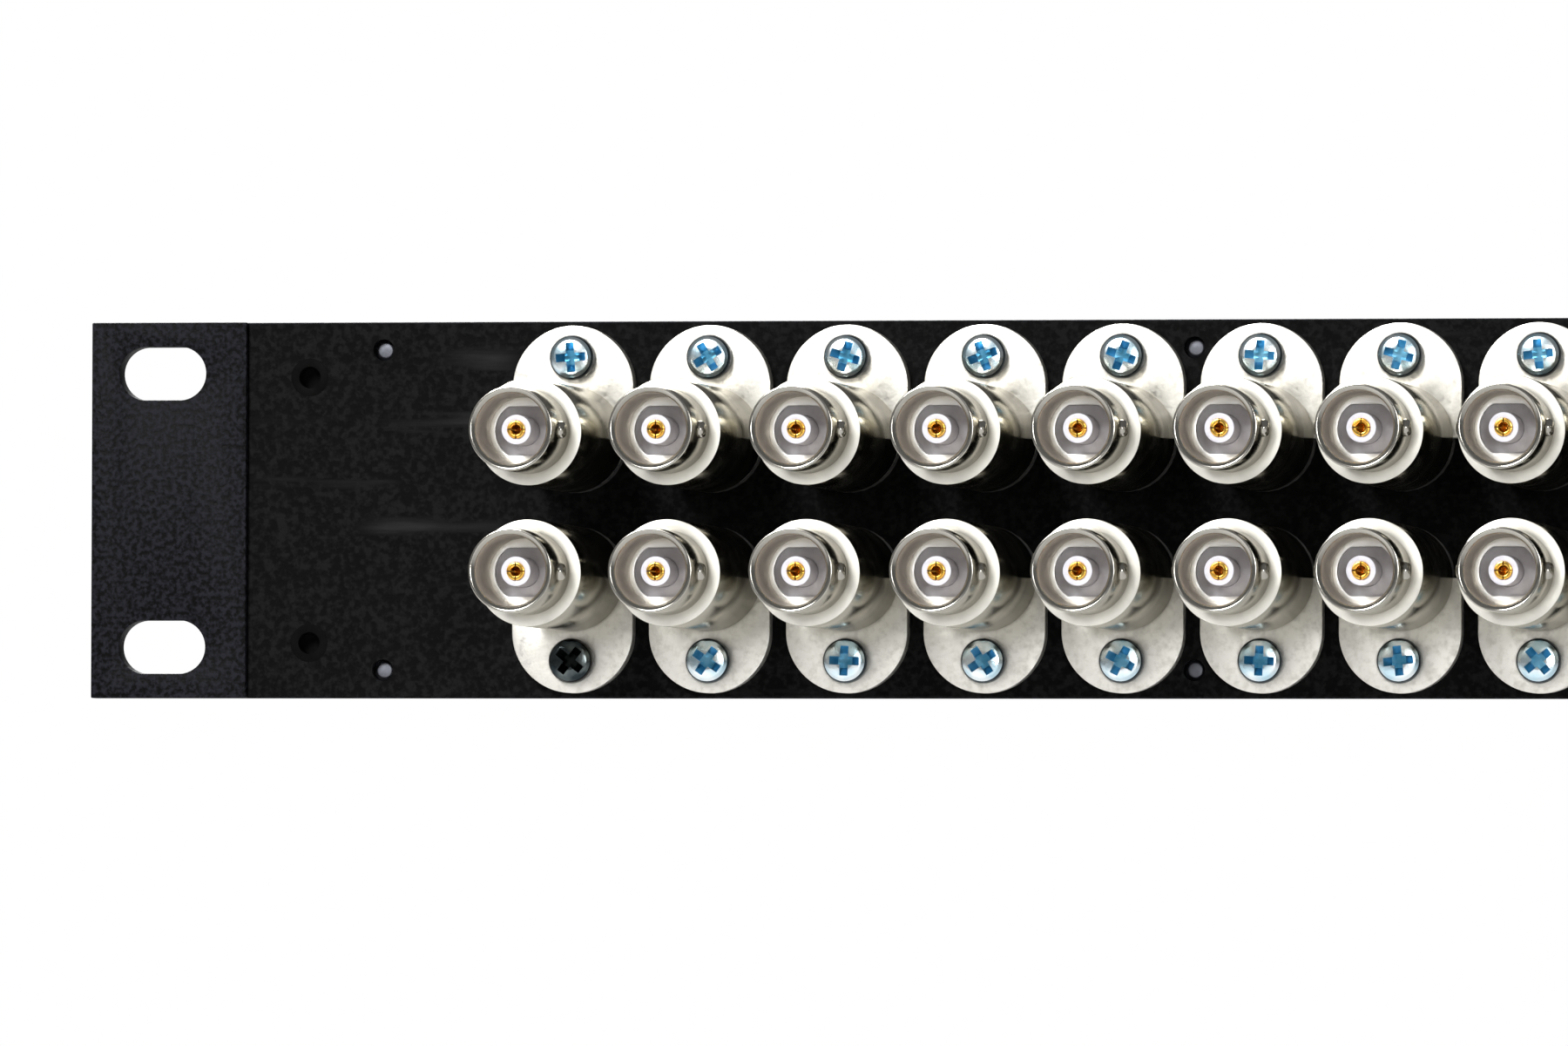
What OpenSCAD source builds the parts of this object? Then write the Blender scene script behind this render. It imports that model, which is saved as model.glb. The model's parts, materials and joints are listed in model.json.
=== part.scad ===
// Coaxial patch bay for a 19-inch rack, one unit high: two rows of straight-through jacks.
//
// X runs along the panel, Z is up and Y is depth. The plug side faces -Y and the BNC side
// faces +Y. The origin is the panel's centre, on the face of the ears that meets the rack.

/* [Panel] */
// Width of the panel over its ears
panel_w = 482.6; // [470:0.1:600]
// Height of the panel
panel_h = 43.6; // [43.6:0.1:60]
// Thickness of the panel at its ears
panel_t = 3.0; // [2.4:0.1:6]
// Width of each ear, from the panel's end to the pocket
ear_w = 18.3; // [17:0.1:20]
// Depth of the pocket that holds the insulating board
pocket_depth = 1.5; // [1:0.1:1.8]

/* [Rack slots] */
// Length of a slot
slot_w = 10.2; // [8:0.1:12]
// Height of a slot
slot_h = 6.2; // [5:0.1:7]
// Distance from the panel's end to a slot's centre
slot_inset = 8.4; // [8:0.05:10]
// Distance between an ear's two slots
slot_spacing = 31.75; // [25:0.05:32]

/* [Insulating board] */
// Thickness of the board
board_t = 0.5; // [0.3:0.05:1]
// Gap between the board and each ear
board_end_gap = 0.1; // [0.1:0.1:1]
// Distance from the board to the panel's top and bottom edges
board_edge_gap = 0.2; // [0:0.1:1]

/* [Jack field] */
// Number of jacks in a row
columns = 24; // [2:2:24]
// Gap between the flanges of neighbouring jacks
flange_gap = 1.83; // [1:0.01:2.2]

/* [BNC connector] */
// Outer diameter of the BNC shell
bnc_od = 9.6; // [7.6:0.1:10]
// Wall of the BNC shell
bnc_wall = 0.75; // [0.6:0.05:1]
// Length of the BNC shell behind the barrel
bnc_length = 11.5; // [10:0.1:14]
// Length of the shell's mouth, which ends just before the contact's tip
bnc_mouth = 3.2; // [2:0.1:3.3]
// Step in radius from a mouth down to the bore behind it
mouth_step = 0.2; // [0.2:0.05:0.3]
// Diameter of a bayonet lug
lug_d = 2.0; // [1.8:0.1:2.2]
// How far a lug stands out from the shell
lug_height = 0.7; // [0.5:0.05:1]
// Distance from the rim to the lugs' centre
lug_from_rim = 5.2; // [4.5:0.1:6]
// Length of the spigot that is pressed into the barrel
spigot_length = 5.5; // [4:0.1:8]
// Wall of the spigot
spigot_wall = 0.65; // [0.5:0.05:0.8]

/* [Barrel] */
// Step from the BNC shell out to the barrel
collar_step = 1.3; // [1:0.1:2]
// Length of the barrel behind the flange
barrel_length = 28.5; // [26:0.1:36]
// Step in radius down to the neck that passes through the flange and the panel
neck_step = 0.8; // [0.6:0.05:0.9]
// How far the barrel stands out in front of the panel
barrel_front = 6.5; // [6.2:0.1:9]
// Depth of the mouth that takes the front plug
plug_depth = 6.0; // [5:0.1:6.2]
// Width of the undercut behind the flange
undercut_w = 0.4; // [0.2:0.1:1]
// Depth of the undercut
undercut_depth = 0.3; // [0.1:0.1:0.6]

/* [Flange] */
// Thickness of the flange
flange_t = 2.0; // [1.5:0.1:3]
// How far the flange's tongue is wider than the barrel on each side
flange_lip = 1.0; // [0.8:0.1:2]
// How far the straight sides stand inside the round ends
side_relief = 0.02; // [0.01:0.01:0.05]
// Distance from the screw's axis to the flange's tip
screw_edge = 3.7; // [3:0.1:4]

/* [Flange screw] */
// Diameter of the thread
screw_d = 3.0; // [2.5:0.1:3.2]
// Diameter of the pan head
screw_head_d = 5.2; // [5:0.1:6]
// Height of the pan head
screw_head_h = 1.9; // [1.6:0.1:2.4]
// Diameter of the flat on top of the pan head
screw_flat_d = 3.6; // [3:0.1:4]
// Height of the slope around that flat
screw_slope_h = 0.8; // [0.4:0.1:1]
// Length of each arm pair of the cross recess
cross_l = 3.8; // [2.4:0.1:4]
// Width of the cross recess's arms
cross_w = 0.9; // [0.6:0.1:1.1]
// Depth of the cross recess
cross_depth = 1.2; // [0.8:0.1:1.5]
// How far the thread's end stays behind the panel's front
screw_end_gap = 0.1; // [0:0.1:1]
// Space between the head and the barrel
screw_head_gap = 0.8; // [0.4:0.1:1.5]
// Clearance around the thread in the flange
screw_clearance = 0.1; // [0.05:0.05:0.3]
// Wall of the insulating bush around the thread
screw_bush_wall = 0.6; // [0.4:0.1:0.8]

/* [Contacts] */
// Outer diameter of the rear contact
rear_contact_d = 2.04; // [1.9:0.02:2.2]
// Diameter of the hole in the rear contact
rear_contact_hole = 1.2; // [1.1:0.05:1.4]
// Distance from the BNC rim to the contact's tip
rear_contact_inset = 3.5; // [3.4:0.1:5]
// Diameter of the white sleeve around the rear contact
sleeve_d = 3.4; // [3:0.1:4]
// Outer diameter of the front contact
front_contact_d = 3.2; // [2.8:0.1:3.6]
// Diameter of the hole in the front contact
front_contact_hole = 1.8; // [1.5:0.1:2]
// Diameter of the centre conductor
conductor_d = 1.8; // [1.2:0.1:2]

/* [Outer contact] */
// Distance from the BNC rim to the outer contact's face
outer_contact_inset = 8.4; // [8:0.1:9]
// Thickness of the outer contact
outer_contact_t = 0.8; // [0.5:0.1:1.2]
// Width of the ring around the aperture
outer_contact_lip = 0.6; // [0.2:0.1:0.8]
// Distance between the aperture's two flats
aperture_flats = 5.56; // [5:0.02:6]

/* [Inner pieces] */
// Thickness of the grey bead that carries the rear contact
bead_t = 3.8; // [3:0.1:5]
// How far the rear contact's tip stands out of the white sleeve
contact_proud = 0.3; // [0.1:0.1:1]
// Thickness of the front insulator
front_insulator_t = 3.0; // [2:0.1:5]
// Thickness of the ground spring's metal
spring_t = 0.3; // [0.2:0.05:0.4]
// Length of the ground spring
spring_length = 6.0; // [4:0.1:8]
// Width of a slot in a spring or a contact
spring_slot = 0.4; // [0.2:0.1:0.6]
// Wall of the insulating bush around the neck
panel_bush_wall = 0.8; // [0.5:0.1:1]
// Width and thickness of the bush's lip
bush_lip = 0.3; // [0.2:0.05:0.3]
// Thickness of the bush's lip in front of the panel
bush_lip_t = 0.6; // [0.4:0.1:1]

/* [Label holders] */
// Distance from the last rivet to the label holder's end
holder_margin = 5; // [3:0.1:5.6]
// Height of a label holder
holder_h = 6.2; // [5:0.1:6.2]
// Distance from the holder to the panel's edge
holder_edge = 0.3; // [0.1:0.1:0.4]
// Thickness of the holder's back and rails
holder_wall = 0.8; // [0.6:0.1:1]
// How far each rail's lip reaches over the cover
holder_lip = 0.5; // [0.3:0.1:0.8]
// Thickness of the rails' lips
holder_lip_t = 0.5; // [0.4:0.1:0.8]
// Thickness of the label card
card_t = 0.35; // [0.2:0.05:0.5]
// Thickness of the clear cover
cover_t = 0.8; // [0.5:0.1:1]
// Clearance around the card and the cover
strip_clearance = 0.1; // [0.05:0.05:0.2]
// How far the cover stands out of the holder's open end
cover_tab = 3.0; // [2:0.5:6]

/* [Rivets and inserts] */
// Diameter of a rivet's shank
rivet_d = 2.5; // [2:0.1:3]
// Diameter of a rivet's head
rivet_head_d = 3.6; // [3:0.1:4]
// Thickness of a rivet's head
rivet_head_t = 0.5; // [0.3:0.1:0.6]
// Distance from the rivets to the panel's top or bottom edge
rivet_inset = 3.25; // [2.9:0.05:3.6]
// How far a rivet's end lies below the board's surface
rivet_recess = 1.2; // [0.6:0.1:1.4]
// Distance from the panel's end to the last rivet
end_rivet_inset = 34.3; // [32:0.1:36]
// Number of jacks between the panel's centre and a middle rivet
middle_rivet_jacks = 7; // [3:1:10]
// Distance from the panel's end to an insert
insert_inset = 25.6; // [24:0.1:27]
// Distance between the two inserts at an end
insert_spacing = 30.8; // [26:0.1:32]
// Diameter of the thread in an insert
insert_thread_d = 2.5; // [2:0.1:3]
// Wall of an insert
insert_wall = 0.95; // [0.6:0.05:1]
// Diameter of the insert's head in front of the panel
insert_head_d = 6.0; // [5:0.1:7]
// Thickness of the insert's head
insert_head_t = 0.6; // [0.4:0.1:0.7]
// Thickness of the insert's closed end
insert_floor = 0.3; // [0.2:0.1:0.5]

/* [Hidden] */

// cuts run this far past the faces that they open
past = 1;
top = 1;
bottom = -1;

// jack radii, from the BNC shell outwards
bnc_r = bnc_od / 2;
bnc_bore_r = bnc_r - bnc_wall;
seat_r = bnc_bore_r - mouth_step;
barrel_r = bnc_r + collar_step;
barrel_bore_r = seat_r + spigot_wall;
plug_r = barrel_bore_r + mouth_step;
neck_r = barrel_r - neck_step;
eye_r = barrel_r - undercut_depth;
flange_r = barrel_r + flange_lip;
bush_r = neck_r + panel_bush_wall;
screw_r = screw_d / 2;
screw_bush_r = screw_r + screw_bush_wall;

// the grid of jacks
pitch = 2 * flange_r + flange_gap;
row_z = flange_r + flange_gap / 2;
screw_offset = barrel_r + screw_head_gap + screw_head_d / 2;
flange_end_offset = screw_offset + screw_edge - flange_r;

// depths
front_face_y = -panel_t;
pocket_y = -pocket_depth;
board_y = pocket_y + board_t;
flange_top_y = board_y + flange_t;
barrel_y = [front_face_y - barrel_front, flange_top_y + barrel_length];
plug_floor_y = barrel_y[0] + plug_depth;
rim_y = barrel_y[1] + bnc_length;
rear_contact_y = [barrel_y[1] - spigot_length / 2, rim_y - rear_contact_inset];
outer_contact_y = rim_y - outer_contact_inset;
bead_y = outer_contact_y - outer_contact_t;
spring_end_y = plug_floor_y + spring_length;
front_insulator_end_y = spring_end_y + front_insulator_t;

// label holders, above and below the jacks
holder_z = [panel_h / 2 - holder_edge - holder_h, panel_h / 2 - holder_edge];
strip_z = [holder_z[0] + holder_wall + strip_clearance, holder_z[1] - holder_wall - strip_clearance];
holder_back_y = front_face_y - holder_wall;
card_y = holder_back_y - strip_clearance / 2;
cover_y = card_y - card_t - strip_clearance / 2;
lip_y = cover_y - cover_t - strip_clearance / 2;
// end rivets near the panel's ends, middle ones between two jacks, and one at the centre
rivet_z = panel_h / 2 - rivet_inset;
end_rivet_x = panel_w / 2 - end_rivet_inset;
middle_rivet_x = pitch * middle_rivet_jacks;
rivet_x = [-end_rivet_x, -middle_rivet_x, 0, middle_rivet_x, end_rivet_x];
holder_end_x = end_rivet_x + holder_margin;
strip_x = [-holder_end_x + holder_wall + strip_clearance, holder_end_x];
insert_x = panel_w / 2 - insert_inset;
insert_r = insert_thread_d / 2 + insert_wall;

// a cylinder along Y
module rod(r, y) {
    translate([0, y[0], 0]) rotate([-90, 0, 0]) cylinder(h = y[1] - y[0], r = r, $fn = 96);
}

// a tube along Y
module tube(r_out, r_in, y) {
    difference() {
        rod(r_out, y);
        rod(r_in, [y[0] - past, y[1] + past]);
    }
}

// a box from its ranges along X, Y and Z
module block(x, y, z) {
    translate([x[0], y[0], z[0]]) cube([x[1] - x[0], y[1] - y[0], z[1] - z[0]]);
}

// one row of jacks: each child is drawn on the jack's axis with the flange pointing up
module jack_row(side) {
    for (i = [0 : columns - 1])
        translate([(i - (columns - 1) / 2) * pitch, 0, side * row_z])
            mirror([0, 0, side == bottom ? 1 : 0]) children();
}

module both_rows() {
    jack_row(top) children();
    jack_row(bottom) children();
}

// what is drawn for the panel's upper edge, or its mirror image at the lower edge
module along_edge(side) {
    mirror([0, 0, side == bottom ? 1 : 0]) children();
}

// a slot with round ends, through the panel
module rack_slot() {
    slot_r = slot_h / 2;
    half = slot_w / 2 - slot_r;
    through = [-panel_t - past, past];
    for (x = [-half, half]) translate([x, 0, 0]) rod(slot_r, through);
    block([-half, half], through, [side_relief - slot_r, slot_r - side_relief]);
}

module at_rivets() {
    for (side = [top, bottom], x = rivet_x) translate([x, 0, side * rivet_z]) children();
}

module at_inserts() {
    for (x = [-insert_x, insert_x], z = [-insert_spacing / 2, insert_spacing / 2])
        translate([x, 0, z]) children();
}

// the holes that the panel and the board share
module shared_holes(y) {
    both_rows() {
        rod(bush_r, y);
        translate([0, 0, screw_offset]) rod(screw_bush_r, y);
    }
    at_rivets() rod(rivet_d / 2, y);
    at_inserts() rod(insert_r, y);
}

module front_panel() {
    pocket_x = panel_w / 2 - ear_w;
    through = [-panel_t - past, past];
    color([0.10, 0.10, 0.11]) difference() {
        block([-panel_w / 2, panel_w / 2], [-panel_t, 0], [-panel_h / 2, panel_h / 2]);
        block([-pocket_x, pocket_x], [pocket_y, past], [-panel_h / 2 - past, panel_h / 2 + past]);
        shared_holes(through);
        for (x = [-1, 1], z = [-1, 1])
            translate([x * (panel_w / 2 - slot_inset), 0, z * slot_spacing / 2]) rack_slot();
    }
}

module insulating_board() {
    board_x = panel_w / 2 - ear_w - board_end_gap;
    board_z = panel_h / 2 - board_edge_gap;
    color([0.06, 0.06, 0.06]) difference() {
        block([-board_x, board_x], [pocket_y, board_y], [-board_z, board_z]);
        shared_holes([pocket_y - past, board_y + past]);
    }
}

// blind threaded inserts for a cable support bar behind the panel
module cable_bar_inserts() {
    head_y = front_face_y - insert_head_t;
    color([0.25, 0.25, 0.26]) at_inserts() difference() {
        union() {
            rod(insert_r, [head_y, board_y]);
            rod(insert_head_d / 2, [head_y, front_face_y]);
        }
        rod(insert_thread_d / 2, [head_y + insert_floor, board_y + past]);
    }
}

// rivets that hold the label holders, with their heads sunk flush in the holders' backs
module label_holder_rivets() {
    color([0.55, 0.55, 0.56]) at_rivets() {
        rod(rivet_d / 2, [holder_back_y, board_y - rivet_recess]);
        rod(rivet_head_d / 2, [holder_back_y, holder_back_y + rivet_head_t]);
    }
}

// a channel with a lip along both rails, closed at its left end
module label_holder(side) {
    rail_y = [lip_y - holder_lip_t, front_face_y];
    inside = [holder_z[0] + holder_wall, holder_z[1] - holder_wall];
    window = [inside[0] + holder_lip, inside[1] - holder_lip];
    channel_x = [holder_wall - holder_end_x, holder_end_x + past];
    color([0.12, 0.12, 0.13]) difference() {
        along_edge(side) difference() {
            block([-holder_end_x, holder_end_x], rail_y, holder_z);
            block(channel_x, [lip_y, holder_back_y], inside);
            block(channel_x, [rail_y[0] - past, lip_y + past / 2], window);
        }
        at_rivets() {
            rod(rivet_d / 2, [holder_back_y - past, front_face_y + past]);
            rod(rivet_head_d / 2, [holder_back_y - past, holder_back_y + rivet_head_t]);
        }
    }
}

module label_card(side) {
    color([0.93, 0.92, 0.88]) along_edge(side)
        block(strip_x, [card_y - card_t, card_y], strip_z);
}

module label_cover(side) {
    color([0.80, 0.85, 0.88, 0.5]) along_edge(side)
        block([strip_x[0], strip_x[1] + cover_tab], [cover_y - cover_t, cover_y], strip_z);
}

module jack_barrel() {
    color([0.80, 0.78, 0.73]) difference() {
        union() {
            rod(barrel_r, [flange_top_y, barrel_y[1]]);
            rod(neck_r, [barrel_y[0], flange_top_y + past / 2]);
        }
        rod(barrel_bore_r, [plug_floor_y - past, barrel_y[1] + past]);
        rod(plug_r, [barrel_y[0] - past, plug_floor_y]);
        tube(barrel_r + past, barrel_r - undercut_depth, [flange_top_y, flange_top_y + undercut_w]);
    }
}

// a flange with an eye around the barrel's neck, no wider than the barrel's undercut, and a
// wider tongue that takes the screw
module jack_flange() {
    y = [board_y, flange_top_y];
    side_x = flange_r - side_relief;
    color([0.86, 0.85, 0.82]) difference() {
        union() {
            rod(eye_r, y);
            translate([0, 0, flange_end_offset]) rod(flange_r, y);
            block([-side_x, side_x], y, [0, flange_end_offset]);
        }
        rod(neck_r, [y[0] - past, y[1] + past]);
        translate([0, 0, screw_offset])
            rod(screw_r + screw_clearance, [y[0] - past, y[1] + past]);
    }
}

// a pan-head screw with a cross recess
module flange_screw() {
    head_y = flange_top_y + screw_head_h;
    slope_y = head_y - screw_slope_h;
    recess_y = [head_y - cross_depth, head_y + past];
    color([0.55, 0.62, 0.75]) translate([0, 0, screw_offset]) difference() {
        union() {
            rod(screw_r, [front_face_y + screw_end_gap, flange_top_y + past / 2]);
            rod(screw_head_d / 2, [flange_top_y, slope_y]);
            translate([0, slope_y, 0]) rotate([-90, 0, 0])
                cylinder(h = screw_slope_h, r1 = screw_head_d / 2, r2 = screw_flat_d / 2, $fn = 96);
        }
        block([-cross_l / 2, cross_l / 2], recess_y, [-cross_w / 2, cross_w / 2]);
        block([-cross_w / 2, cross_w / 2], recess_y, [-cross_l / 2, cross_l / 2]);
    }
}

module bnc_shell() {
    lug_x = bnc_r + lug_height;
    lug_root = bnc_bore_r + bnc_wall / 3;
    spigot_y = [barrel_y[1] - spigot_length, barrel_y[1] + past / 2];
    color([0.78, 0.77, 0.72]) difference() {
        union() {
            rod(bnc_r, [barrel_y[1], rim_y]);
            rod(barrel_bore_r, spigot_y);
            for (turn = [0, 180]) rotate([0, turn, 0])
                translate([lug_root, rim_y - lug_from_rim, 0]) rotate([0, 90, 0])
                    cylinder(h = lug_x - lug_root, r = lug_d / 2, $fn = 48);
        }
        rod(seat_r, [spigot_y[0] - past, rim_y - bnc_mouth + past]);
        rod(bnc_bore_r, [rim_y - bnc_mouth, rim_y + past]);
    }
}

// the ring at the bottom of the shell, with an aperture that has two flats
module outer_contact() {
    y = [bead_y, outer_contact_y];
    hole_r = seat_r - outer_contact_lip;
    color([0.88, 0.88, 0.86]) difference() {
        rod(seat_r, y);
        intersection() {
            rod(hole_r, [y[0] - past, y[1] + past]);
            block([-hole_r - past, hole_r + past], [y[0] - 2 * past, y[1] + 2 * past],
                  [-aperture_flats / 2, aperture_flats / 2]);
        }
    }
}

module support_bead() {
    color([0.52, 0.52, 0.55]) tube(seat_r, sleeve_d / 2, [bead_y - bead_t, bead_y]);
}

module contact_sleeve() {
    color([0.95, 0.95, 0.97])
        tube(sleeve_d / 2, rear_contact_d / 2, [bead_y - bead_t, rear_contact_y[1] - contact_proud]);
}

module rear_contact() {
    hole_depth = rim_y - rear_contact_inset - bead_y;
    color([0.95, 0.75, 0.20]) difference() {
        rod(rear_contact_d / 2, rear_contact_y);
        rod(rear_contact_hole / 2, [rear_contact_y[1] - hole_depth, rear_contact_y[1] + past]);
    }
}

module centre_conductor() {
    color([0.90, 0.72, 0.30])
        rod(conductor_d / 2, [front_insulator_end_y, rear_contact_y[0]]);
}

module front_insulator() {
    color([0.95, 0.95, 0.95])
        tube(barrel_bore_r, front_contact_d / 2, [spring_end_y, front_insulator_end_y]);
}

// a socket with four fingers
module front_contact() {
    finger = spring_length;
    y = [plug_floor_y, front_insulator_end_y];
    color([0.95, 0.75, 0.20]) difference() {
        rod(front_contact_d / 2, y);
        rod(front_contact_hole / 2, [y[0] - past, y[0] + finger + past]);
        for (turn = [0, 90]) rotate([0, turn, 0])
            block([-front_contact_d, front_contact_d], [y[0] - past, y[0] + finger],
                  [-spring_slot / 2, spring_slot / 2]);
    }
}

// a slotted sleeve that grips the plug's body
module ground_spring() {
    slot_end_y = spring_end_y - spring_length / 4;
    color([0.85, 0.80, 0.62]) difference() {
        tube(barrel_bore_r, barrel_bore_r - spring_t, [plug_floor_y, spring_end_y]);
        for (turn = [0, 60, 120]) rotate([0, turn, 0])
            block([-barrel_r, barrel_r], [plug_floor_y - past, slot_end_y],
                  [-spring_slot / 2, spring_slot / 2]);
    }
}

// an insulating bush between the barrel's neck and the panel, with a lip in front
module panel_bush() {
    color([0.08, 0.08, 0.08]) difference() {
        union() {
            rod(bush_r, [front_face_y - bush_lip_t, board_y]);
            rod(bush_r + bush_lip, [front_face_y - bush_lip_t, front_face_y]);
        }
        rod(neck_r, [front_face_y - bush_lip_t - past, board_y + past]);
    }
}

// a threaded insulating bush that keeps the flange screw off the panel
module screw_bush() {
    color([0.90, 0.88, 0.80]) translate([0, 0, screw_offset])
        tube(screw_bush_r, screw_r, [front_face_y, board_y]);
}

front_panel();
insulating_board();
cable_bar_inserts();
label_holder_rivets();
label_holder(top);  // top_label_holder
label_holder(bottom);  // bottom_label_holder
label_card(top);  // top_label_card
label_card(bottom);  // bottom_label_card
label_cover(top);  // top_label_cover
label_cover(bottom);  // bottom_label_cover
jack_row(top) jack_barrel();  // top_jack_barrels
jack_row(bottom) jack_barrel();  // bottom_jack_barrels
jack_row(top) jack_flange();  // top_jack_flanges
jack_row(bottom) jack_flange();  // bottom_jack_flanges
jack_row(top) flange_screw();  // top_flange_screws
jack_row(bottom) flange_screw();  // bottom_flange_screws
jack_row(top) bnc_shell();  // top_bnc_shells
jack_row(bottom) bnc_shell();  // bottom_bnc_shells
jack_row(top) outer_contact();  // top_outer_contacts
jack_row(bottom) outer_contact();  // bottom_outer_contacts
jack_row(top) support_bead();  // top_support_beads
jack_row(bottom) support_bead();  // bottom_support_beads
jack_row(top) contact_sleeve();  // top_contact_sleeves
jack_row(bottom) contact_sleeve();  // bottom_contact_sleeves
jack_row(top) rear_contact();  // top_rear_contacts
jack_row(bottom) rear_contact();  // bottom_rear_contacts
jack_row(top) centre_conductor();  // top_centre_conductors
jack_row(bottom) centre_conductor();  // bottom_centre_conductors
jack_row(top) front_insulator();  // top_front_insulators
jack_row(bottom) front_insulator();  // bottom_front_insulators
jack_row(top) front_contact();  // top_front_contacts
jack_row(bottom) front_contact();  // bottom_front_contacts
jack_row(top) ground_spring();  // top_ground_springs
jack_row(bottom) ground_spring();  // bottom_ground_springs
jack_row(top) panel_bush();  // top_panel_bushes
jack_row(bottom) panel_bush();  // bottom_panel_bushes
jack_row(top) screw_bush();  // top_screw_bushes
jack_row(bottom) screw_bush();  // bottom_screw_bushes
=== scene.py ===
# %% [markdown]
# # A coaxial patch bay, seen from its BNC side
#
# A patch bay is a rack panel full of jacks. Cables stay plugged into the BNC connectors behind it,
# and patch cords go into the sockets in front. The panel, the jacks and the label strips come in as
# a fixed CAD frame. This file makes the visible pieces around it: turned metal, stamped flanges,
# screws, contacts, labels, and a finish for each of them.

# %% Load the frame
import json
import math
import random

import bmesh
import bpy
from mathutils import Matrix, Vector


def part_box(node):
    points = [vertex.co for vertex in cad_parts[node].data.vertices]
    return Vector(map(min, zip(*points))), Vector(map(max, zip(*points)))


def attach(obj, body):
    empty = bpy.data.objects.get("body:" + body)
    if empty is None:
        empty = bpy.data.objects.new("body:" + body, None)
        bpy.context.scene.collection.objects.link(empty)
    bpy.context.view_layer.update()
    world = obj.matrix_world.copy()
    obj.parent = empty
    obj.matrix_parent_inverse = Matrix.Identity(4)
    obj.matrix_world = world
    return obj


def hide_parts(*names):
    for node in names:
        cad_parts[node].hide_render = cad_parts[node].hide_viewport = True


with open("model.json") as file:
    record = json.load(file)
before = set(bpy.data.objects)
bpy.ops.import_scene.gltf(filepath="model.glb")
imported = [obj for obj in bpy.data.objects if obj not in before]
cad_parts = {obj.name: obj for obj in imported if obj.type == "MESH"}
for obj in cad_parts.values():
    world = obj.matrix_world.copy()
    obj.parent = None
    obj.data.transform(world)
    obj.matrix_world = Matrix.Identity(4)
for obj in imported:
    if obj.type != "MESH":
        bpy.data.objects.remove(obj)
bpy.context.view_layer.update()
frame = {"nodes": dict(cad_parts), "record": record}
mm = 0.001
print("frame loaded:", len(frame["nodes"]), "nodes")

# %% [markdown]
# ## Where things are
#
# Every place comes from the frame. The record's mounts give each jack's axis, and the CAD nodes'
# boxes give depths and diameters, so nothing has to be fitted by eye. The jacks stand in two rows,
# and a flange points up in the top row and down in the bottom row.

# %% Jack axes and depths
rows = ("top", "bottom")
mounts = {m["name"]: m for m in frame["record"]["mounts"]}


def jack_axes(row):
    found = sorted(name for name in mounts if name.startswith(f"bnc_{row}_"))
    return [Vector(mounts[name]["pos_m"]) for name in found]


def depths(kind):
    low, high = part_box(f"top_{kind}")
    return low.y, high.y


axes = {row: jack_axes(row) for row in rows}
row_length = axes["top"][-1].x - axes["top"][0].x
row_z = axes["top"][0].z


def radius_of(kind):
    low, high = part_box(f"top_{kind}")
    return (high.x - low.x - row_length) / 2


def tallness(kind):
    low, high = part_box(f"top_{kind}")
    return high.z - low.z


panel_low, panel_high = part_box("front_panel")
board_low, board_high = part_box("insulating_board")
barrel_r = radius_of("jack_barrels")
barrel_y = depths("jack_barrels")
flange_r = radius_of("jack_flanges")
flange_y = depths("jack_flanges")
shell_r = tallness("bnc_shells") / 2
rim_y = depths("bnc_shells")[1]
jacks_in_row = len(axes["top"])
pitch = row_length / (jacks_in_row - 1)
print(f"{jacks_in_row} jacks a row, {pitch / mm:.2f} mm apart, barrel radius {barrel_r / mm:.1f} mm")

# %% [markdown]
# ## Camera
#
# The camera stands well back with a long lens, a little to one side and just below the panel, and
# turns towards the panel's end. From there the near rims slide over the far flanges, which shows
# how deep the jacks are.

# %% Place the camera
scene = bpy.context.scene
camera_place = Vector((-0.1163, 1.6726, -0.0469))
camera_aim = Vector((0.15977, 0, -0.00159))
camera_roll = 0.0029
camera_lens = 337.86

camera = bpy.data.objects.new("camera", bpy.data.cameras.new("camera"))
scene.collection.objects.link(camera)
camera.data.lens = camera_lens
camera.data.clip_end = 100
turn = (camera_aim - camera_place).to_track_quat("-Z", "Y")
camera.rotation_mode = "QUATERNION"
camera.location = camera_place
camera.rotation_quaternion = turn @ Matrix.Rotation(camera_roll, 3, "Z").to_quaternion()
scene.camera = camera
print(f"camera {(camera_aim - camera_place).length:.2f} m away, {camera.data.lens:.0f} mm lens")

# %% [markdown]
# ## Stage and light
#
# Polished metal looks like whatever is around it, so the room matters more than the lamps. The
# camera sees a white backdrop, but the metal is lit by a dim room. That keeps the blacks black,
# and lets one soft lamp, high on the left, whiten the upper flanges and throw the screws' shadows
# to the lower right. A weak lamp lifts the undersides, and one beside the camera reaches into the
# shells. The last one lights the plug side.

# %% Floor, backdrop and lamps
scene.view_settings.view_transform = "Standard"
room_light = 0.17
floor_z = -0.25
floor_half = 2.5
lit_middle = (0.12, 0, 0)


def flat_finish(name, colour, rough):
    material = bpy.data.materials.new(name)
    material.use_nodes = True
    shader = material.node_tree.nodes["Principled BSDF"]
    shader.inputs["Base Color"].default_value = (*colour, 1)
    shader.inputs["Roughness"].default_value = rough
    return material


floor_mesh = bpy.data.meshes.new("floor")
flat = bmesh.new()
bmesh.ops.create_grid(flat, x_segments=1, y_segments=1, size=floor_half,
                      matrix=Matrix.Translation((0, 0, floor_z)))
flat.to_mesh(floor_mesh)
flat.free()
floor = bpy.data.objects.new("floor", floor_mesh)
floor.data.materials.append(flat_finish("pale_floor", (0.85, 0.85, 0.85), 0.8))
scene.collection.objects.link(floor)

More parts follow.
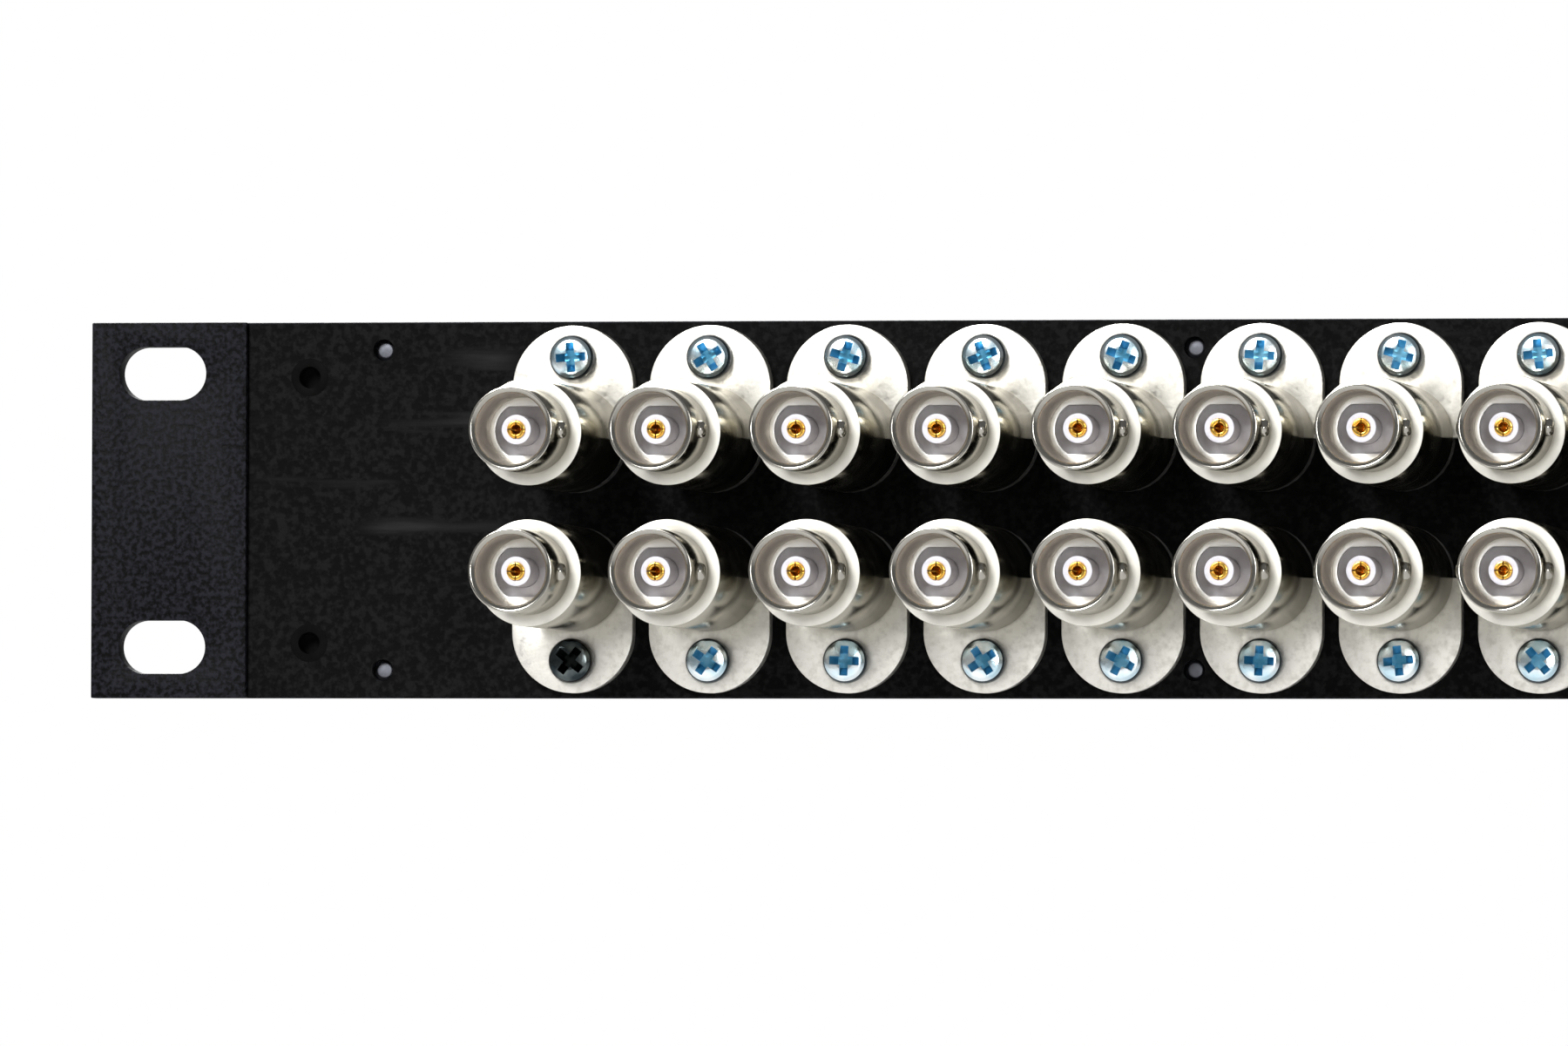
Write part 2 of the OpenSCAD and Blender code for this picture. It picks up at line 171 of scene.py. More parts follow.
world = bpy.data.worlds.new("studio")
scene.world = world
world.use_nodes = True
sky = world.node_tree
room = sky.nodes["Background"]
room.inputs["Strength"].default_value = room_light
backdrop = sky.nodes.new("ShaderNodeBackground")
seen = sky.nodes.new("ShaderNodeLightPath")
either = sky.nodes.new("ShaderNodeMixShader")
for light in (room, backdrop):
    light.inputs["Color"].default_value = (1, 1, 1, 1)
sky.links.new(seen.outputs["Is Camera Ray"], either.inputs["Fac"])
sky.links.new(room.outputs["Background"], either.inputs[1])
sky.links.new(backdrop.outputs["Background"], either.inputs[2])
sky.links.new(either.outputs["Shader"], sky.nodes["World Output"].inputs["Surface"])


def soft_lamp(name, place, aim, width, watts):
    lamp = bpy.data.objects.new(name, bpy.data.lights.new(name, "AREA"))
    lamp.data.shape = "SQUARE"
    lamp.data.size = width
    lamp.data.energy = watts
    lamp.location = place
    lamp.rotation_mode = "QUATERNION"
    lamp.rotation_quaternion = (Vector(aim) - Vector(place)).to_track_quat("-Z", "Y")
    scene.collection.objects.link(lamp)


soft_lamp("key", (0.50, 1.20, 0.66), aim=lit_middle, width=0.40, watts=17)
soft_lamp("under", (0.30, 1.10, -0.60), aim=lit_middle, width=0.50, watts=5)
soft_lamp("fill", (-0.25, 1.35, 0.10), aim=lit_middle, width=0.25, watts=2.6)
soft_lamp("front", (0.45, -1.20, 0.80), aim=(0, 0, 0), width=0.60, watts=18)

# %% [markdown]
# ## A small kit for finishes
#
# Each finish starts from one Principled shader and reads object coordinates, which are metres here.
# A noise scale of 1000 therefore makes marks about a millimetre wide. Three helpers cover most of
# the work: a noise that can be stretched, a range that turns it into roughness, and a bump.

# %% Helpers for materials


def shader_of(name, colour, rough, metal=0.0):
    material = flat_finish(name, colour, rough)
    tree = material.node_tree
    shader = tree.nodes["Principled BSDF"]
    shader.inputs["Metallic"].default_value = metal
    return material, tree, shader


def noise(tree, scale, stretch=(1, 1, 1), detail=3.0):
    place = tree.nodes.new("ShaderNodeTexCoord")
    mapping = tree.nodes.new("ShaderNodeMapping")
    mapping.inputs["Scale"].default_value = stretch
    tree.links.new(place.outputs["Object"], mapping.inputs["Vector"])
    texture = tree.nodes.new("ShaderNodeTexNoise")
    texture.inputs["Scale"].default_value = scale
    texture.inputs["Detail"].default_value = detail
    tree.links.new(mapping.outputs["Vector"], texture.inputs["Vector"])
    return texture.outputs["Fac"]


def between(tree, value, low, high, at_low, at_high):
    ranged = tree.nodes.new("ShaderNodeMapRange")
    ranged.inputs["From Min"].default_value = low
    ranged.inputs["From Max"].default_value = high
    ranged.inputs["To Min"].default_value = at_low
    ranged.inputs["To Max"].default_value = at_high
    tree.links.new(value, ranged.inputs["Value"])
    return ranged.outputs["Result"]


def two_colours(tree, value, first, second):
    mix = tree.nodes.new("ShaderNodeMix")
    mix.data_type = "RGBA"
    mix.inputs["A"].default_value = (*first, 1)
    mix.inputs["B"].default_value = (*second, 1)
    tree.links.new(value, mix.inputs["Factor"])
    return mix.outputs["Result"]


def combined(tree, operation, first, second):
    maths = tree.nodes.new("ShaderNodeMath")
    maths.operation = operation
    tree.links.new(first, maths.inputs[0])
    tree.links.new(second, maths.inputs[1])
    return maths.outputs["Value"]


def bumped(tree, shader, height, distance, strength=1.0):
    bump = tree.nodes.new("ShaderNodeBump")
    bump.inputs["Strength"].default_value = strength
    bump.inputs["Distance"].default_value = distance
    tree.links.new(height, bump.inputs["Height"])
    tree.links.new(bump.outputs["Normal"], shader.inputs["Normal"])


print("material helpers ready")

# %% [markdown]
# ## Black finishes
#
# The panel is powder coated: a dark blue-black skin with a fine pebbled grain. The sheet between
# the ears is smoother and blacker, and years of cables have left faint scuffs that run along it.
# Stretching one noise along X makes those long marks.

# %% Powder coat, board and black plastic


def powder_coat():
    material, tree, shader = shader_of("powder_coat", (0.004, 0.004, 0.006), 0.55)
    grain = noise(tree, 1700, detail=6)
    shade = between(tree, grain, 0.42, 0.60, 0, 1)
    tree.links.new(two_colours(tree, shade, (0.0001, 0.0001, 0.0004), (0.0125, 0.0128, 0.0180)),
                   shader.inputs["Base Color"])
    shader.inputs["Specular IOR Level"].default_value = 0.09
    tree.links.new(between(tree, grain, 0.3, 0.7, 0.45, 0.65), shader.inputs["Roughness"])
    bumped(tree, shader, grain, 0.00014, 0.8)
    return material


def scuffed_board():
    material, tree, shader = shader_of("scuffed_board", (0.002, 0.002, 0.002), 0.5)
    streaks = between(tree, noise(tree, 330, (0.09, 1, 1), 6), 0.60, 0.74, 0, 1)
    patches = between(tree, noise(tree, 42, detail=2), 0.50, 0.62, 0, 1)
    specks = between(tree, noise(tree, 1500, detail=6), 0.44, 0.62, 0, 0.34)
    scuffs = combined(tree, "MULTIPLY", streaks, patches)
    marks = combined(tree, "MAXIMUM", scuffs, specks)
    tree.links.new(two_colours(tree, marks, (0.0002, 0.0002, 0.0002), (0.017, 0.017, 0.0175)),
                   shader.inputs["Base Color"])
    shader.inputs["Specular IOR Level"].default_value = 0.06
    tree.links.new(between(tree, noise(tree, 160), 0.3, 0.7, 0.45, 0.6), shader.inputs["Roughness"])
    bumped(tree, shader, noise(tree, 1500), 0.00006, 0.5)
    return material


def black_plastic():
    material, tree, shader = shader_of("black_plastic", (0.018, 0.018, 0.019), 0.45)
    tree.links.new(between(tree, noise(tree, 700), 0.3, 0.7, 0.38, 0.55), shader.inputs["Roughness"])
    bumped(tree, shader, noise(tree, 3000), 0.00004, 0.4)
    return material


coat = powder_coat()
board_skin = scuffed_board()
plastic = black_plastic()
print("black finishes:", coat.name, board_skin.name, plastic.name)

# %% [markdown]
# ## Metal finishes
#
# The barrels are turned brass under nickel. Turning leaves hair-fine rings, so the bump's noise is
# squeezed along the jack's axis. The sides are polished, while the faced ends keep a satin grain and
# are painted lighter than the sides, as painted light. The shells' bores take a lighter copy still,
# as painted light reaching down into the shell.
# The flanges are stamped and plated in a barrel with hundreds of others, which leaves a speckled
# sheen. Nickel is slightly yellow beside chrome. Blue zinc shows its passivated skin as a colour
# that drifts over the screw's head, and the black screw's oxide drifts in the same way.

# %% Nickel, zinc, gold and aluminium


def turned_nickel(name, colour, rough_low, rough_high):
    material, tree, shader = shader_of(name, colour, rough_low, 1.0)
    rings = noise(tree, 90, (1, 60, 1), 4)
    cloud = noise(tree, 240, detail=4)
    dull = tuple(0.82 * c for c in colour)
    tree.links.new(two_colours(tree, between(tree, cloud, 0.4, 0.7, 0, 1), colour, dull),
                   shader.inputs["Base Color"])
    tree.links.new(between(tree, cloud, 0.3, 0.7, rough_low, rough_high), shader.inputs["Roughness"])
    shader.inputs["Specular Tint"].default_value = (0.62, 0.60, 0.55, 1)
    bumped(tree, shader, rings, 0.00003, 0.35)
    return material


def speckled_nickel():
    bright, dull = (0.86, 0.84, 0.78), (0.70, 0.68, 0.62)
    material, tree, shader = shader_of("speckled_nickel", bright, 0.4, 1.0)
    speckle = noise(tree, 1500, detail=5)
    tree.links.new(two_colours(tree, between(tree, speckle, 0.45, 0.75, 0, 1), bright, dull),
                   shader.inputs["Base Color"])
    tree.links.new(between(tree, speckle, 0.3, 0.7, 0.34, 0.55), shader.inputs["Roughness"])
    bumped(tree, shader, speckle, 0.00006, 0.5)
    return material


def drifting(name, pale, deep, rough):
    material, tree, shader = shader_of(name, pale, rough, 1.0)
    drift = between(tree, noise(tree, 420, detail=2), 0.4, 0.6, 0, 1)
    tree.links.new(two_colours(tree, drift, pale, deep), shader.inputs["Base Color"])
    bumped(tree, shader, noise(tree, 2600), 0.00003, 0.3)
    return material


def gold_plate():
    pale, deep = (1.0, 0.62, 0.12), (0.85, 0.42, 0.06)
    material, tree, shader = shader_of("gold_plate", pale, 0.22, 1.0)
    cloud = noise(tree, 900, detail=3)
    tree.links.new(two_colours(tree, between(tree, cloud, 0.35, 0.7, 0, 1), pale, deep),
                   shader.inputs["Base Color"])
    tree.links.new(between(tree, cloud, 0.3, 0.7, 0.16, 0.3), shader.inputs["Roughness"])
    return material


def plain_metal(name, colour, rough):
    material, tree, shader = shader_of(name, colour, rough, 1.0)
    cloud = noise(tree, 900, detail=4)
    tree.links.new(between(tree, cloud, 0.3, 0.7, rough * 0.8, rough * 1.25),
                   shader.inputs["Roughness"])
    bumped(tree, shader, cloud, 0.00004, 0.3)
    return material


barrel_nickel = turned_nickel("barrel_nickel", (0.55, 0.53, 0.47), 0.12, 0.24)
shell_nickel = turned_nickel("shell_nickel", (0.52, 0.50, 0.45), 0.12, 0.22)
# The faced ends' nickel is a lighter copy of the sides' nickel: painted light. Its satin grain is real.
lit_faced_nickel = turned_nickel("lit_faced_nickel", (0.86, 0.84, 0.77), 0.40, 0.50)
# The bore's nickel is lighter still, as painted light reaching down into the shell.
lit_bore_nickel = turned_nickel("lit_bore_nickel", (0.95, 0.90, 0.82), 0.42, 0.52)
flange_nickel = speckled_nickel()
bright_plate = plain_metal("bright_plate", (0.92, 0.91, 0.88), 0.42)
# The pale crown is a painted highlight. The dark rim and the black screw's recess are painted shade.
highlit_zinc = drifting("highlit_zinc", (0.90, 0.97, 0.99), (0.58, 0.78, 0.88), 0.24)
blue_zinc = drifting("blue_zinc", (0.20, 0.50, 0.72), (0.08, 0.30, 0.48), 0.30)
shaded_zinc = drifting("shaded_zinc", (0.025, 0.04, 0.05), (0.01, 0.02, 0.03), 0.35)
black_steel = drifting("black_steel", (0.13, 0.15, 0.15), (0.03, 0.04, 0.045), 0.18)
shaded_black = drifting("shaded_black", (0.012, 0.014, 0.014), (0.004, 0.004, 0.004), 0.35)
gold = gold_plate()
aluminium = plain_metal("aluminium", (0.17, 0.175, 0.20), 0.5)
spring_bronze = plain_metal("spring_bronze", (0.72, 0.60, 0.38), 0.3)
print("metal finishes ready")

# %% [markdown]
# ## Insulators, card and clear cover
#
# White fluoropolymer and moulded beads hold the contacts. The bead is painted grey and the sleeve's
# sides darker than its white end, both as painted shade deep in the shell. The insulators are slightly
# soft to light, so their roughness stays in the middle. The label card is plain paper, and its cover
# is clear plastic that still shows a little grey at its edges.

# %% White, grey, nylon, paper and clear plastic


def moulded(name, colour, rough, grain=1400, gloss=0.5):
    material, tree, shader = shader_of(name, colour, rough)
    shader.inputs["Specular IOR Level"].default_value = gloss
    darker = tuple(0.88 * c for c in colour)
    tree.links.new(two_colours(tree, between(tree, noise(tree, grain), 0.4, 0.7, 0, 1), colour, darker),
                   shader.inputs["Base Color"])
    tree.links.new(between(tree, noise(tree, 500), 0.3, 0.7, rough * 0.85, rough * 1.15),
                   shader.inputs["Roughness"])
    return material


def clear_plastic():
    material, tree, shader = shader_of("clear_plastic", (0.95, 0.97, 0.98), 0.06)
    shader.inputs["Transmission Weight"].default_value = 1.0
    shader.inputs["IOR"].default_value = 1.50
    tree.links.new(between(tree, noise(tree, 120), 0.3, 0.7, 0.04, 0.10), shader.inputs["Roughness"])
    return material


white_sleeve = moulded("white_sleeve", (0.76, 0.76, 0.84), 0.4)
# The sleeve's sides take a darker copy of its white, as painted shade.
shaded_sleeve_side = moulded("shaded_sleeve_side", (0.46, 0.45, 0.50), 0.5)
black_oxide = moulded("black_oxide", (0.0016, 0.0016, 0.0016), 0.7, gloss=0.06)
# The bead is painted grey as painted shade deep in the shell.
shaded_bead = moulded("shaded_bead", (0.53, 0.52, 0.56), 0.45)
nylon = moulded("nylon", (0.74, 0.70, 0.60), 0.5)
card = moulded("card", (0.86, 0.85, 0.80), 0.85, 5000)
ink = moulded("ink", (0.02, 0.02, 0.02), 0.6)
clear = clear_plastic()
print("insulators, card and cover ready")

# %% [markdown]
# ## Turning and repeating
#
# Most of a jack is turned on a lathe, and a spin is the same idea: one outline of radius and depth,
# carried once round the axis. The outline starts as a face, so bevelling its corners rounds every
# edge of the finished part. The face is then dropped and its edges are spun. A second helper copies
# one finished part to every jack in a row.

# %% Helpers for turned parts
round_steps = 48
fine_steps = 72
weld = 0.000001
end_tilt = 0.8


def turned(outline, ease=0.0, steps=round_steps):
    part = bmesh.new()
    corners = [part.verts.new((radius, depth, 0)) for radius, depth in outline]
    part.faces.new(corners)
    if ease:
        outer = [v for v in corners if v.co.x > weld]
        bmesh.ops.bevel(part, geom=outer, offset=ease, affect="VERTICES", segments=2,
                        profile=0.5, material=-1)
    bmesh.ops.delete(part, geom=part.faces[:], context="FACES_ONLY")
    on_axis = [e for e in part.edges if all(v.co.x < weld for v in e.verts)]
    bmesh.ops.delete(part, geom=on_axis, context="EDGES")
    bmesh.ops.spin(part, geom=part.verts[:] + part.edges[:], cent=(0, 0, 0), axis=(0, 1, 0),
                   angle=math.tau, steps=steps, use_merge=True)
    bmesh.ops.remove_doubles(part, verts=part.verts[:], dist=weld)
    bmesh.ops.recalc_face_normals(part, faces=part.faces[:])
    return part


def tube_outline(r_in, r_out, y):
    return [(r_in, y[0]), (r_out, y[0]), (r_out, y[1]), (r_in, y[1])]


def repeated(one, places):
    """Copies of one part, one for each matrix in places, as a single bmesh."""
    pattern = bpy.data.meshes.new("pattern")
    one.to_mesh(pattern)
    one.free()
    many = bmesh.new()
    for place in places:
        before = len(many.verts)
        many.from_mesh(pattern)
        many.verts.ensure_lookup_table()
        bmesh.ops.transform(many, matrix=place, verts=many.verts[before:])
    bpy.data.meshes.remove(pattern)
    return many


def jack_places(row):
    """A matrix for each jack of a row. The bottom row is turned half round, flanges down."""
    half_turn = Matrix.Rotation(math.pi if row == "bottom" else 0, 4, "Y")
    return [Matrix.Translation((axis.x, 0, axis.z)) @ half_turn for axis in axes[row]]


def show(name, part, materials, body="panel", stands_for=(), sharp=35):
    """Makes a finished piece from a bmesh and puts it on its body."""
    mesh = bpy.data.meshes.new(name)
    part.to_mesh(mesh)
    part.free()
    mesh.shade_smooth()
    mesh.set_sharp_from_angle(angle=math.radians(sharp))
    piece = bpy.data.objects.new(name, mesh)
    scene.collection.objects.link(piece)
    for material in materials:
        mesh.materials.append(material)
    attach(piece, body)
    if stands_for:
        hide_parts(*stands_for)
    return piece


def satin_ends(part):
    """Gives the second material to the faces that look along the axis, to paint ends and sides in
    different light.
    """
    for face in part.faces:
        face.material_index = int(abs(face.normal.y) > end_tilt)
    return part


def satin_bore(part, radius):
    """Gives the second material, a lighter copy that is painted light, to the faces inside a radius."""
    for face in part.faces:
        middle = face.calc_center_median()
        face.material_index = int(math.hypot(middle.x, middle.z) < radius)
    return part


def show_rows(kind, make, slot, *materials):
    """One piece for each row, with the part that make() returns at every jack."""
    for row in rows:
        piece = show(f"{row}_{kind}_fine", repeated(make(), jack_places(row)), materials,
                     stands_for=[f"{row}_{kind}"])
        print(f"{piece.name}: {len(piece.data.polygons)} faces")


# %% [markdown]
# ## Barrels
#
# The barrel is the jack's body, a nickel tube. It steps down to a neck where it passes through the
# flange and the panel. Just behind the flange a narrow undercut lets the shoulder sit flat, and
# shows as a dark line round the barrel's foot. The rear end is the collar that the BNC shell comes
# out of.

# %% Turn the barrels
undercut_depth = 0.3 * mm
undercut_wide = 0.4 * mm
eye_r = barrel_r - undercut_depth
neck_r = barrel_r - 0.8 * mm
plug_bore = mounts["socket_top_01"]["dims"]["r_mm"] * mm
plug_depth = mounts["socket_top_01"]["dims"]["length_mm"] * mm
barrel_bore = 4.5 * mm


def barrel():
    foot = flange_y[1]
    shoulder = foot + undercut_wide
    socket_end = barrel_y[0] + plug_depth
    outline = [
        (plug_bore, barrel_y[0]), (neck_r, barrel_y[0]), (neck_r, foot), (eye_r, foot),
        (eye_r, shoulder), (barrel_r, shoulder), (barrel_r, barrel_y[1]),
        (barrel_bore, barrel_y[1]), (barrel_bore, socket_end), (plug_bore, socket_end),
    ]
    # The faced ends take the lighter nickel, which is painted light.
    return satin_ends(turned(outline, ease=0.12 * mm, steps=fine_steps))


show_rows("jack_barrels", barrel, "satin_nickel", barrel_nickel, lit_faced_nickel)

# %% [markdown]
# ## Flat parts with holes
#
# A stamped part is an outline with holes, filled and given a thickness. Circles make the outlines.
# A circle pulled apart at its middle becomes the flange's long shape or a slot. Turning it half a
# step first puts a vertex pair on each side of the cut, so the straight sides come out parallel.

# %% Helpers for plates
square_corner = math.radians(60)
upright = Matrix.Rotation(math.pi / 2, 4, "X")


def loop(part, radius, centre, stretch=(0, 0), segments=fine_steps):
    """A circle in the XZ plane, pulled apart by stretch along X or Z."""
    half_step = Matrix.Rotation(math.pi / segments, 4, "Z")
    place = Matrix.Translation(centre) @ upright @ half_step
    made = bmesh.ops.create_circle(part, cap_ends=False, radius=radius, segments=segments,
                                   matrix=place)
    for v in made["verts"]:
        v.co.x += math.copysign(stretch[0], v.co.x - centre[0])
        v.co.z += math.copysign(stretch[1], v.co.z - centre[2])
    return made["verts"]


def rectangle(part, low, high, depth):
    corners = [part.verts.new((x, depth, z)) for x, z in
               ((low.x, low.z), (high.x, low.z), (high.x, high.z), (low.x, high.z))]
    for a, b in zip(corners, corners[1:] + corners[:1]):
        part.edges.new((a, b))


def fill(part):
    bmesh.ops.triangle_fill(part, edges=part.edges[:], use_beauty=True, normal=(0, -1, 0))


def thicken(part, faces, amount):
    """Extrudes faces towards +Y and returns the faces that end up on top."""
    made = bmesh.ops.extrude_face_region(part, geom=faces, use_keep_orig=False)["geom"]
    moved = [g for g in made if isinstance(g, bmesh.types.BMVert)]
    bmesh.ops.translate(part, verts=moved, vec=(0, amount, 0))
    return [g for g in made if isinstance(g, bmesh.types.BMFace)]


def square_edges(part, chosen=lambda edge: True):
    """Edges where two faces meet squarely."""
    return [e for e in part.edges
            if len(e.link_faces) == 2 and e.calc_face_angle() > square_corner and chosen(e)]


def eased(part, edges, amount, segments=2):
    bmesh.ops.bevel(part, geom=edges, offset=amount, affect="EDGES", segments=segments,
                    profile=0.5, material=-1)


print("plate helpers ready")

# %% [markdown]
# ## Flanges
#
# Each flange is a stamped plate. A small eye goes round the barrel's neck, hidden under its
# shoulder, and a wider tongue takes one screw. The outline starts as a stretched circle whose inner
# half shrinks to the eye, and two cuts in each side make the shoulders between them. The press
# rounds the outer edge slightly, and that rounded edge catches the light as a bright line.

# %% Stamp the flanges
flange_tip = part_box("top_jack_flanges")[1].z - row_z
flange_reach = flange_tip - flange_r
screw_r = radius_of("flange_screws")
screw_y = depths("flange_screws")
screw_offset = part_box("top_flange_screws")[1].z - screw_r - row_z
flange_hole = 1.6 * mm
flange_edge = 0.13 * mm


def flange():
    part = bmesh.new()
    outline = loop(part, flange_r, (0, flange_y[0], flange_reach / 2), (0, flange_reach / 2))
    for v in outline:
        if v.co.z < 0:
            v.co.x *= eye_r / flange_r
            v.co.z *= eye_r / flange_r
    sides = [e for e in part.edges if e.calc_length() > flange_reach]
    cuts = bmesh.ops.subdivide_edges(part, edges=sides, cuts=2)["geom_inner"]
    for v in (g for g in cuts if isinstance(g, bmesh.types.BMVert)):
        wide = flange_r if v.co.z > flange_reach / 2 else eye_r
        v.co = (math.copysign(wide, v.co.x), flange_y[0], 0)
    loop(part, neck_r, (0, flange_y[0], 0))
    loop(part, flange_hole, (0, flange_y[0], screw_offset), segments=24)
    fill(part)
    thicken(part, part.faces[:], flange_y[1] - flange_y[0])
    bmesh.ops.recalc_face_normals(part, faces=part.faces[:])
    upper = flange_y[0] + weld
    rim = square_edges(part, lambda e: all(v.co.y > upper for v in e.verts))
    eased(part, rim, flange_edge)
    return part


show_rows("jack_flanges", flange, "bright_nickel", flange_nickel)

# %% [markdown]
# ## Flange screws
#
# A pan head is a low dome, so it is turned like the rest. The cross recess is cut with a Boolean
# modifier, once, before the screw is copied, with a cross that draws in towards its point as a
# driver's tip does. Nobody lines screws up, so each one gets its own turn from a seeded random
# generator. The zinc's blue shows in the recess. The crown is painted pale as a painted highlight,
# and the rim is painted dark as painted shade, so the faces of one screw take three finishes. One
# replacement screw is black. Its recess and rim are painted blacker still, as painted shade.

# %% Make the screws
shank_r = 1.5 * mm
recess_wide = 1.25 * mm
recess_reach = 1.75 * screw_r
recess_sunk = 0.62
recess_taper = 0.36
recess_floor = 0.86
rim_from = 0.88
rim_tilt = 0.7


def carved(body, cutter):
    """The body with the cutter taken out of it, as a bmesh."""
    made = []
    for name, part in (("body", body), ("cutter", cutter)):
        mesh = bpy.data.meshes.new(name)
        part.to_mesh(mesh)
        part.free()
        item = bpy.data.objects.new(name, mesh)
        scene.collection.objects.link(item)
        made.append(item)
    cut = made[0].modifiers.new("cut", "BOOLEAN")
    cut.object = made[1]
    cut.operation = "DIFFERENCE"
    cut.solver = "EXACT"
    bpy.context.view_layer.update()
    shown = made[0].evaluated_get(bpy.context.evaluated_depsgraph_get())
    result = bmesh.new()
    result.from_mesh(shown.to_mesh())
    shown.to_mesh_clear()
    for item in made:
        mesh = item.data
        bpy.data.objects.remove(item)
        bpy.data.meshes.remove(mesh)
    bmesh.ops.remove_doubles(result, verts=result.verts[:], dist=weld)
    return result


def cross_punch(top, depth, reach, wide):
    """The tool that forms a cross recess: a cross that draws in towards its point."""
    part = bmesh.new()
    corners = []
    for quarter in range(4):
        turn = Matrix.Rotation(-quarter * math.pi / 2, 3, "Y")
        for x, z in ((reach / 2, -wide / 2), (reach / 2, wide / 2), (wide / 2, wide / 2)):
            corners.append(part.verts.new(turn @ Vector((x, top + depth / 2, z))))
    cross = part.faces.new(corners)
    made = bmesh.ops.extrude_face_region(part, geom=[cross], use_keep_orig=True)["geom"]
    point = [g for g in made if isinstance(g, bmesh.types.BMVert)]
    bmesh.ops.scale(part, vec=(recess_taper, 1, recess_taper), verts=point)
    bmesh.ops.translate(part, vec=(0, -1.5 * depth, 0), verts=point)
    bmesh.ops.recalc_face_normals(part, faces=part.faces[:])
    return part


def screw():
    under, crown = flange_y[1], screw_y[1]
    high = crown - under
    outline = [
        (0, screw_y[0]), (shank_r, screw_y[0]), (shank_r, under), (screw_r, under),
        (screw_r, under + high * 0.48), (screw_r * 0.94, under + high * 0.76),
        (screw_r * 0.78, under + high * 0.93), (screw_r * 0.40, crown), (0, crown),
    ]
    head = turned(outline, ease=0.1 * mm, steps=40)
    made = carved(head, cross_punch(crown, high * recess_sunk, recess_reach, recess_wide))
    # Crown faces take the painted highlight. Rim faces and the black screw's recess take the painted
    # shade.
    for face in made.faces:
        middle = face.calc_center_median()
        out = math.hypot(middle.x, middle.z) / screw_r
        sunk = out < 0.8 and middle.y < under + recess_floor * high
        edge = out > rim_from and face.normal.y < rim_tilt
        face.material_index = 2 if edge else int(sunk)
    return made


# Head, recess and rim of a zinc screw, then of the black one. The pale head is a painted highlight, and
# the rims and black recess are painted shade.
zinc_lit_and_shaded = [highlit_zinc, blue_zinc, shaded_zinc]
black_lit_and_shaded = [black_steel, shaded_black, shaded_black]
dice = random.Random(24)
for row in rows:
    on_flange = Matrix.Translation((0, 0, screw_offset))
    places = [jack @ on_flange @ Matrix.Rotation(dice.uniform(0, math.tau), 4, "Y")
              for jack in jack_places(row)]
    piece = show(f"{row}_flange_screws_fine", repeated(screw(), places),
                 zinc_lit_and_shaded + black_lit_and_shaded,
                 stands_for=[f"{row}_flange_screws"])
    if row == "bottom":
        for face in piece.data.polygons:
            if face.center.x > axes[row][-1].x - 2 * screw_r:
                face.material_index += len(zinc_lit_and_shaded)
    print(f"{piece.name}: {len(piece.data.polygons)} faces")

# %% [markdown]
# ## BNC shells
#
# The shell is a thin turned tube with two bayonet lugs across it. Its rim is countersunk so that
# the plug finds it, and the bore narrows gently down to the ring at its bottom. The lugs are short
# pins with a rounded end, set into the wall on both sides.

# %% Turn the shells and add the lugs
mouth_r = mounts["bnc_top_01"]["dims"]["r_mm"] * mm
mouth_depth = mounts["bnc_top_01"]["dims"]["length_mm"] * mm
seat_r = 3.85 * mm
countersink_wide = 0.42 * mm
countersink_deep = 0.35 * mm
lug_from_rim = 5.2 * mm
lug_r = 1.0 * mm
lug_dome = 0.6 * mm
lug_root = mouth_r + 0.2 * mm
lug_reach = radius_of("bnc_shells")


def shell():
    root = depths("bnc_shells")[0]
    outline = [
        (seat_r, root), (barrel_bore, root), (barrel_bore, barrel_y[1]), (shell_r, barrel_y[1]),
        (shell_r, rim_y), (mouth_r + countersink_wide, rim_y), (mouth_r, rim_y - countersink_deep),
        (mouth_r, rim_y - mouth_depth), (seat_r, depths("outer_contacts")[1] + countersink_deep),
    ]
    # The bore takes the lighter nickel, which is painted light down the shell.
    part = satin_bore(turned(outline, ease=0.1 * mm, steps=fine_steps), mouth_r + weld)
    length = lug_reach - lug_root
    lug_middle = Matrix.Translation((lug_reach - length / 2, rim_y - lug_from_rim, 0))
    crosswise = Matrix.Rotation(math.pi / 2, 4, "Y")
    for side in (0, math.pi):
        place = Matrix.Rotation(side, 4, "Y") @ lug_middle @ crosswise
        lug = bmesh.ops.create_cone(part, cap_ends=True, segments=24, radius1=lug_r, radius2=lug_r,
                                    depth=length, matrix=place)
        ends = {e for v in lug["verts"] for e in v.link_edges if e.calc_face_angle(0) > 1
                and all(abs(u.co.x) > lug_reach - weld for u in e.verts)}
        eased(part, list(ends), lug_dome, segments=5)
    return part


show_rows("bnc_shells", shell, "nickel_shell", shell_nickel, lit_bore_nickel)

# %% [markdown]
# ## Inside the BNC
#
# Four small parts fill the shell: a bright ring with two flats, the bead behind it, a white
# sleeve, and the gold contact with its hollow tip split by two saw cuts. The bead is painted grey and
# the sleeve's sides darker than its end, both as painted shade deep in the shell. The sleeve reaches
# almost to the contact's tip, so from behind it shows as a white ring around the gold.

# %% Outer contacts, beads, sleeves and rear contacts
ring_y = depths("outer_contacts")
bead_y = depths("support_beads")
sleeve_y = depths("contact_sleeves")
sleeve_r = radius_of("contact_sleeves")
pin_y = depths("rear_contacts")
pin_r = radius_of("rear_contacts")
pin_hole = 0.6 * mm
pin_cut_wide = 0.16 * mm
pin_cut_length = 2.6 * mm
aperture_r = 3.25 * mm
aperture_half = 2.78 * mm


